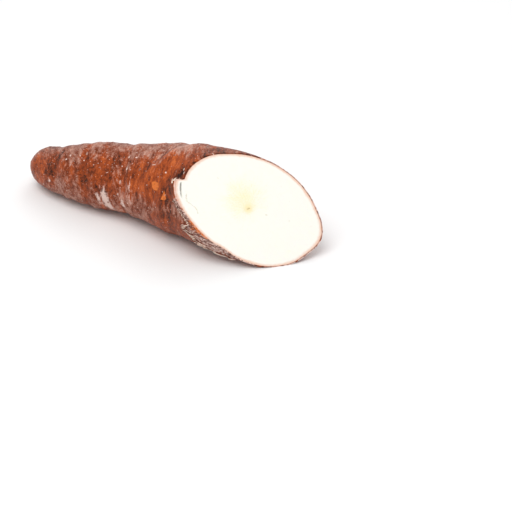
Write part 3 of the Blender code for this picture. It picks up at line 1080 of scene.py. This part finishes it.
def paint_cut(mesh, rings, inward, body_count):
    """Carry the cut face's coordinates in its plane and round its heart, and its colouring."""
    normal = np.array([1.0, -CUT_SLOPE_Y, -CUT_SLOPE_Z])
    normal /= np.linalg.norm(normal)
    across = np.cross([0.0, 0.0, 1.0], normal)
    across /= np.linalg.norm(across)
    up = np.cross(normal, across)
    points = np.concatenate([rings.reshape(-1, 3), rings[0, :1], [CUT_CENTRE]]) - CUT_CENTRE
    a, b = points @ across, points @ up
    carry(mesh, "cut_space", np.stack([a, b, 0 * a], axis=-1) / MM)
    away = np.hypot(a - HEART_ACROSS, b - HEART_UP)
    spoke = np.arctan2(b - HEART_UP, a - HEART_ACROSS)
    ray = np.stack([SPOKES * np.cos(spoke), SPOKES * np.sin(spoke), away / RAY_LENGTH], axis=-1)
    carry(mesh, "ray_space", ray)
    carry(mesh, "heart", bell(away, HEART_RADIUS))
    carry(mesh, "glow", bell(away, GLOW_RADIUS))
    carry(mesh, "halo", bell(np.hypot(a - HALO_ACROSS, b - HALO_UP), HALO_RADIUS))
    # The crack's walls, which get painted shade.
    crack = np.zeros(rings.shape[:2])
    angles = 2 * math.pi * np.arange(COLUMNS) / COLUMNS
    walls = slice(body_count + CORTEX_INSIDE, body_count + FLESH_EDGE + 1)
    crack[walls] = crack_open(angles) * np.array([[0.3], [1.0], [1.0], [0.3]])
    carry(mesh, "crack", np.concatenate([crack.ravel(), [0.0, 0.0]]))
    depth = np.full(len(rings), DEEP)
    depth[:body_count] = 0.0
    depth[body_count:body_count + len(inward)] = np.array(inward) / MM
    carry(mesh, "rim_depth", np.concatenate([np.repeat(depth, COLUMNS), [0.0, DEEP]]))


# ---------------------------------------------------------------- loose bark

# How deep the plates' undersides sink into the bark, and how thick each kind stands on it
PLATE_SINK = 0.15 * MM
FLAKE_THICKNESS = 0.10 * MM
CHIP_THICKNESS = 0.10 * MM
SPECK_THICKNESS = 0.08 * MM
FIBRE_THICKNESS = 0.08 * MM
SPLINTER_THICKNESS = 0.12 * MM
# How far back from the cut the flakes keep
FLAKES_BACK = 7 * MM
# Across the torn strip, from under the bark to its free end: how far back from the torn edge (mm), share
# of the strip's lift, thickness (mm), and tone
# The palest tones, at the strip's free end, are partly the torn edge's own cream and partly painted light.
STRIP_ROWS = [
    (2.6, 0.0, 0.02, 0.30),
    (1.5, 0.15, 0.12, 0.40),
    (0.95, 0.5, 0.16, 0.80),
    (0.5, 0.9, 0.14, 1.2),
    (0.0, 1.15, 0.10, 1.2),
]
# The corners of a torn fibre: shares of its length, half width and rise
FIBRE_OUTLINE = [(0, -1, 0), (0.6, -0.8, 0.4), (1, 0, 1), (0.6, 0.8, 0.4), (0, 1, 0)]
# Specks and dashes that stand out: X (mm), direction (degrees), reach along and round (mm), and tone from
# dark to pale
SPECKS = [
    (93.6, 49, 0.7, 0.6, 1.0),
    (95.9, 29, 0.8, 0.5, 1.0),
    (89.9, 29, 0.5, 0.5, 1.0),
    (91.2, 70, 0.5, 1.2, 0.9),
    (88.6, 45, 0.5, 0.4, 1.0),
    (90.0, 90, 0.6, 0.8, 0.9),
    (91.4, 108, 1.2, 0.6, 0.9),
    (125.9, 47, 0.7, 0.5, 1.0),
    (45.5, 43, 0.7, 0.5, 1.0),
    (47.0, 34, 0.5, 0.6, 1.0),
    (59.9, 43, 0.5, 0.4, 1.0),
    (34.0, 92, 0.8, 0.9, 0.95),
    (138.7, 39, 0.35, 0.8, 1.1),
    (140.4, 43, 0.4, 0.8, 1.1),
    (113.5, 39, 1.9, 0.3, 0.95),
]
# Splinters of the strip's ragged top end: each corner's distance back from the cut (mm), its direction
# (degrees), and its height over the bark beside the strip (mm)
SPLINTERS = [
    [(0.1, 55.0, 4.5), (0.4, 51.2, 4.6), (1.3, 54.5, 4.4)],
    [(0.1, 53.5, 2.4), (0.3, 50.4, 2.0), (0.2, 53.0, 1.2)],
    [(1.0, 57.0, 4.3), (1.7, 53.0, 5.1), (2.3, 57.5, 4.4)],
    [(0.2, 53.6, 3.7), (0.4, 51.9, 3.5), (0.3, 53.4, 3.0)],
]


def plates(name, outlines, sizes):
    """One mesh of many thin closed plates that follow the bark, each a fan round its middle.

    Each outline is (corners, thickness, tone), and a corner is (x, angle, lift off the bark).
    """
    rings = [[*corners, tuple(np.mean(corners, axis=0))] for corners, _thickness, _tone in outlines]
    counts = [len(ring) for ring in rings]
    x, angle, lift = np.array([corner for ring in rings for corner in ring]).T
    thickness, tone = np.repeat([outline[1:] for outline in outlines], counts, axis=0).T
    end = cut_x(angle)
    top = bark_points(x, angle, end, sizes, lift + thickness)
    foot = bark_points(x, angle, end, sizes, lift - PLATE_SINK)
    under = len(x)
    faces = []
    first = 0
    for count in counts:
        middle = first + count - 1
        for i in range(first, middle):
            after = i + 1 if i + 1 < middle else first
            faces.append((middle, i, after))
            faces.append((under + middle, under + after, under + i))
            faces.append((after, i, under + i, under + after))
        first += count
    mesh = bpy.data.meshes.new(name)
    mesh.from_pydata((np.concatenate([top, foot]) - ORIGIN).tolist(), [], faces)
    carry(mesh, "tone", np.tile(tone, 2))
    return add_object(name, mesh)


def shifted(x, angle, ahead, aside, lean):
    """The place that lies ahead of another along the root and aside round it, both turned by lean."""
    new_x = x + ahead * math.cos(lean) - aside * math.sin(lean)
    new_angle = angle + (ahead * math.sin(lean) + aside * math.cos(lean)) / float(along(RADIUS, x))
    return new_x, new_angle


def corners_round(x, angle, reach_x, reach_round, lean, shares, lift):
    """An outline round a place on the bark: its corners at shares of an oval, turned by lean."""
    corners = []
    for i, share in enumerate(shares):
        spin = 2 * math.pi * i / len(shares)
        ahead = share * reach_x * math.cos(spin)
        aside = share * reach_round * math.sin(spin)
        corners.append((*shifted(x, angle, ahead, aside, lean), lift))
    return corners


def flakes(count):
    """Seeded outlines of small loose flakes, kept clear of the cut and of the root's underside."""
    rng = np.random.default_rng(7)
    made = []
    while len(made) < count:
        x = rng.uniform(6, 165) * MM
        angle = rng.uniform(-0.6, 0.6) * math.pi * 1.3
        end = float(cut_x(angle))
        size = rng.uniform(0.35, 1.15) * MM
        shares = rng.uniform(0.55, 1.15, 7)
        stretch = rng.uniform(0.7, 2.0)
        lean = rng.uniform(-0.6, 0.6)
        lift = rng.uniform(0.0, 0.05) * MM
        tone = rng.uniform(0.35, 0.9)
        if x < end - FLAKES_BACK:
            corners = corners_round(x, angle, size, size * stretch, lean, shares, lift)
            made.append((corners, FLAKE_THICKNESS, tone))
    return made


def torn_strip(sizes):
    """The ragged edge of the outer bark where it lifts off, as one thin closed strip."""
    angle = np.arange(TORN_ROUND[1], TORN_ROUND[-2], 0.4 * DEGREE)
    end = cut_x(angle)
    edge = torn_edge(angle)
    ragged = noise_round(0.0, angle, 45.0, MM, 52.0)
    lifted = (0.55 + 0.9 * ragged) * MM * ramp(edge, 1 * MM, 3 * MM)
    lifted = np.clip(lifted, 0.05 * MM, 1.2 * MM)
    reach, share, thickness, tone = np.array(STRIP_ROWS).T[:, :, None]
    back = edge + reach * MM
    lift = share * lifted + TORN_STEP * torn_off(angle, back) + 0.02 * MM
    top = bark_points(end - back, angle, end, sizes, lift + thickness * MM)
    foot = bark_points(end - back, angle, end, sizes, lift)
    return shell("torn_bark", top, foot, np.broadcast_to(tone, back.shape))


def shell(name, top, foot, tone):
    """A closed thin shell between two grids of points, each given as rows of points."""
    rows, columns = top.shape[:2]
    grid = np.arange(rows * columns).reshape(rows, columns)
    under = grid + rows * columns
    faces = []
    for i in range(rows - 1):
        for j in range(columns - 1):
            faces.append((grid[i, j], grid[i, j + 1], grid[i + 1, j + 1], grid[i + 1, j]))
            faces.append((under[i, j], under[i + 1, j], under[i + 1, j + 1], under[i, j + 1]))
    border = [*grid[0], *grid[1:, -1], *grid[-1, -2::-1], *grid[-2:0:-1, 0]]
    for a, b in zip(border, border[1:] + border[:1]):
        faces.append((b, a, a + rows * columns, b + rows * columns))
    mesh = bpy.data.meshes.new(name)
    points = np.concatenate([top.reshape(-1, 3), foot.reshape(-1, 3)]) - ORIGIN
    mesh.from_pydata(points.tolist(), [], [tuple(int(i) for i in face) for face in faces])
    carry(mesh, "tone", np.tile(tone.ravel(), 2))
    return add_object(name, mesh)


def shreds(count):
    """Seeded outlines of fibres that stand up from the torn bark, each pointed at its free end."""
    rng = np.random.default_rng(11)
    made = []
    for _ in range(count):
        angle = rng.uniform(TORN_ROUND[1], TORN_ROUND[-2])
        end = float(cut_x(angle))
        back = float(torn_edge(angle)) * rng.uniform(0.15, 1.1)
        length = rng.uniform(1.0, 3.5) * MM
        half = rng.uniform(0.10, 0.28) * MM
        lean = rng.uniform(-0.9, 0.9)
        up = rng.uniform(0.2, 0.9) * MM
        corners = []
        for reach, side, share in FIBRE_OUTLINE:
            x, turned = shifted(end - back, angle, reach * length, side * half, lean)
            corners.append((min(x, end - 0.1 * MM), turned, share * up))
        made.append((corners, FIBRE_THICKNESS, rng.uniform(0.3, 1.0)))
    return made


def splinter_outlines():
    """Outlines of the splinters, measured from the bark under them."""
    made = []
    for corners in SPLINTERS:
        back, angle, height = np.array(corners).T * [[MM], [DEGREE], [MM]]
        lift = height - knife_marks(angle, back)
        made.append((list(zip(cut_x(angle) - back, angle, lift)), SPLINTER_THICKNESS, 1.2))
    return made


def speck_outlines():
    """Outlines of the specks and dashes, each a little irregular."""
    rng = np.random.default_rng(3)
    made = []
    for x, angle, reach_x, reach_round, tone in measured((MM, DEGREE, MM, MM, 1), SPECKS):
        shares = rng.uniform(0.75, 1.2, 7)
        corners = corners_round(x, angle, reach_x, reach_round, 0.0, shares, 0.0)
        made.append((corners, SPECK_THICKNESS, tone))
    return made


# ---------------------------------------------------------------- operators


class CASSAVA_OT_root(bpy.types.Operator):
    """Grow the root: wrinkled bark, cortex and cut flesh"""

    bl_idname = "cassava.root"
    bl_label = "Root"

    def execute(self, context):
        scene = context.scene
        root = root_piece(scene.cassava_sizes, scene.cassava_colours)
        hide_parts(ROOT_NODE)
        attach(root, ROOT_BODY)
        return {"FINISHED"}


class CASSAVA_OT_chips(bpy.types.Operator):
    """Add the two orange chips where the outer bark is gone"""

    bl_idname = "cassava.chips"
    bl_label = "Chips"

    def execute(self, context):
        scene = context.scene
        rings = [measured((MM, DEGREE, 1), [(x, angle, 0.0) for x, angle in corners]) for corners in CHIPS]
        outlines = [(corners, CHIP_THICKNESS, 0.5) for corners in rings]
        chips = plates("bark_chips", outlines, scene.cassava_sizes)
        chips.data.materials.append(chip_material(scene.cassava_colours))
        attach(chips, ROOT_BODY)
        return {"FINISHED"}


class CASSAVA_OT_torn(bpy.types.Operator):
    """Add the ragged edge and the fibres of the torn bark beside the cut"""

    bl_idname = "cassava.torn"
    bl_label = "Torn bark"

    def execute(self, context):
        scene = context.scene
        material = flake_material(scene.cassava_colours)
        strip = torn_strip(scene.cassava_sizes)
        fibres = plates("torn_fibres", shreds(scene.cassava_sizes.fibre_count), scene.cassava_sizes)
        for piece in (strip, fibres):
            piece.data.materials.append(material)
            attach(piece, ROOT_BODY)
        return {"FINISHED"}


class CASSAVA_OT_flakes(bpy.types.Operator):
    """Scatter the small loose flakes of bark, with the specks that stand out"""

    bl_idname = "cassava.flakes"
    bl_label = "Flakes"

    def execute(self, context):
        scene = context.scene
        outlines = flakes(scene.cassava_sizes.flake_count) + speck_outlines() + splinter_outlines()
        loose = plates("bark_flakes", outlines, scene.cassava_sizes)
        loose.data.materials.append(flake_material(scene.cassava_colours))
        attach(loose, ROOT_BODY)
        return {"FINISHED"}


class CASSAVA_OT_stage(bpy.types.Operator):
    """Set the plain floor, the soft lights and the camera"""

    bl_idname = "cassava.stage"
    bl_label = "Stage"

    def execute(self, context):
        settings = context.scene.cassava_stage
        floor_plane(settings)
        soft_lights(settings)
        camera(settings)
        return {"FINISHED"}


def floor_plane(settings):
    """A wide pale floor with a barely uneven finish."""
    half = 6.0
    corners = [(-half, -half, 0), (half, -half, 0), (half, half, 0), (-half, half, 0)]
    mesh = bpy.data.meshes.new("floor")
    mesh.from_pydata(corners, [], [(0, 1, 2, 3)])
    made, tree, shader = new_material("pale_floor")
    where = node(tree, "ShaderNodeTexCoord", {}).outputs["Object"]
    cloud = node(tree, "ShaderNodeTexNoise", {"Vector": where, "Scale": 3.0, "Detail": 2.0}).outputs["Fac"]
    duller = [0.985 * c for c in settings.floor_colour]
    feed(tree, shader, {
        "Base Color": mix(tree, cloud, duller, settings.floor_colour),
        "Roughness": 0.8,
        "Specular IOR Level": 0.2,
    })
    mesh.materials.append(made)
    floor = add_object("floor", mesh)


def area_light(name, location, target, size, power):
    """A square soft light that faces a point."""
    data = bpy.data.lights.new(name, "AREA")
    data.energy = power
    data.size = size
    lamp = add_object(name, data)
    lamp.location = location
    lamp.rotation_euler = (Vector(target) - Vector(location)).to_track_quat("-Z", "Y").to_euler()


def soft_lights(settings):
    """Even light from all round, with a large soft light above and in front."""
    scene = bpy.context.scene
    world = bpy.data.worlds.new("studio")
    world.use_nodes = True
    background = world.node_tree.nodes["Background"]
    background.inputs["Color"].default_value = (1.0, 1.0, 1.0, 1.0)
    background.inputs["Strength"].default_value = settings.sky_strength
    scene.world = world
    area_light("key_light", (0.1, -0.5, 1.1), (0, 0, 0), 0.8, settings.key_power)
    area_light("back_light", (-0.4, 0.9, 0.9), (0, 0, 0), 0.8, 0.4 * settings.key_power)
    scene.view_settings.view_transform = "Standard"


def camera(settings):
    """The camera, which looks down on the root from beside its cut end."""
    turned, tilt = settings.view_turn, settings.view_height
    back = Vector((math.sin(turned) * math.cos(tilt), -math.cos(turned) * math.cos(tilt), math.sin(tilt)))
    data = bpy.data.cameras.new("camera")
    data.angle = settings.view_angle
    made = add_object("camera", data)
    made.location = Vector((settings.view_along, settings.view_aside, 0.0)) + settings.view_distance * back
    made.rotation_euler = back.to_track_quat("Z", "Y").to_euler()
    bpy.context.scene.camera = made


class CASSAVA_PT_panel(bpy.types.Panel):
    """The root's pieces, sizes and colours"""

    bl_label = "Cassava Root"
    bl_idname = "CASSAVA_PT_panel"
    bl_space_type = "VIEW_3D"
    bl_region_type = "UI"
    bl_category = "Cassava"

    def draw(self, context):
        layout = self.layout
        for group in ("cassava_sizes", "cassava_colours", "cassava_stage"):
            settings = getattr(context.scene, group)
            box = layout.box()
            for name in settings.__annotations__:
                box.prop(settings, name)
        for operator in OPERATORS:
            layout.operator(operator.bl_idname)


GROUPS = {"cassava_sizes": CassavaSizes, "cassava_colours": CassavaColours, "cassava_stage": CassavaStage}
OPERATORS = (CASSAVA_OT_root, CASSAVA_OT_chips, CASSAVA_OT_torn, CASSAVA_OT_flakes, CASSAVA_OT_stage)


def register():
    for made in (*GROUPS.values(), *OPERATORS, CASSAVA_PT_panel):
        bpy.utils.register_class(made)
    for name, group in GROUPS.items():
        setattr(bpy.types.Scene, name, bpy.props.PointerProperty(type=group))


def unregister():
    for name in GROUPS:
        delattr(bpy.types.Scene, name)
    for made in (CASSAVA_PT_panel, *OPERATORS[::-1], *GROUPS.values()):
        bpy.utils.unregister_class(made)


def main():
    register()
    bpy.ops.cassava.root()
    bpy.ops.cassava.chips()
    bpy.ops.cassava.torn()
    bpy.ops.cassava.flakes()
    bpy.ops.cassava.stage()


if __name__ == "__main__":
    main()
